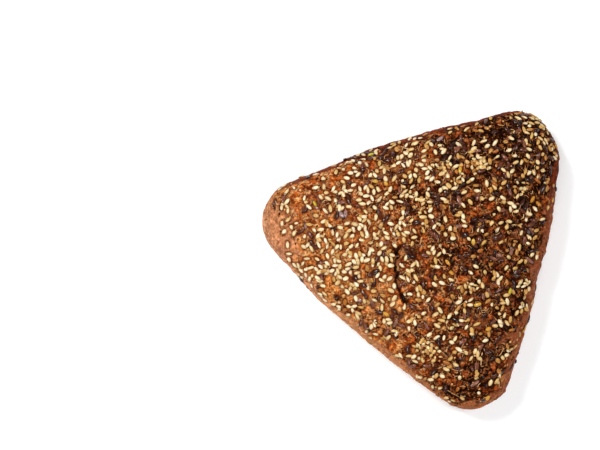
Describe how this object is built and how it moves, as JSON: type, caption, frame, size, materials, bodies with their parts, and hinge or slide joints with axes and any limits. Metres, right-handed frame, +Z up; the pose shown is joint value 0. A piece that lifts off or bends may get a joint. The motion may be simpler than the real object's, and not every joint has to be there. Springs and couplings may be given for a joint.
{
  "type": "bread roll",
  "caption": "Flat three-cornered bread roll with a flat base and a domed top crusted with sesame, linseed and cracked grain.",
  "frame": {"origin": "on the surface that the roll rests on, under the middle of the box round its outline", "axes": "+Z up through the crown, -X towards the blunt pale tip, +Y towards the longer straight side"},
  "size_m": [0.121, 0.1216, 0.0344],
  "materials": {
    "crust": "matte",
    "sesame": "satin",
    "brown_linseed": "satin",
    "golden_linseed": "satin",
    "cracked_grain": "matte",
    "bran": "matte"
  },
  "bodies": {
    "root": {"bread_roll": "crust"}
  },
  "joints": []
}
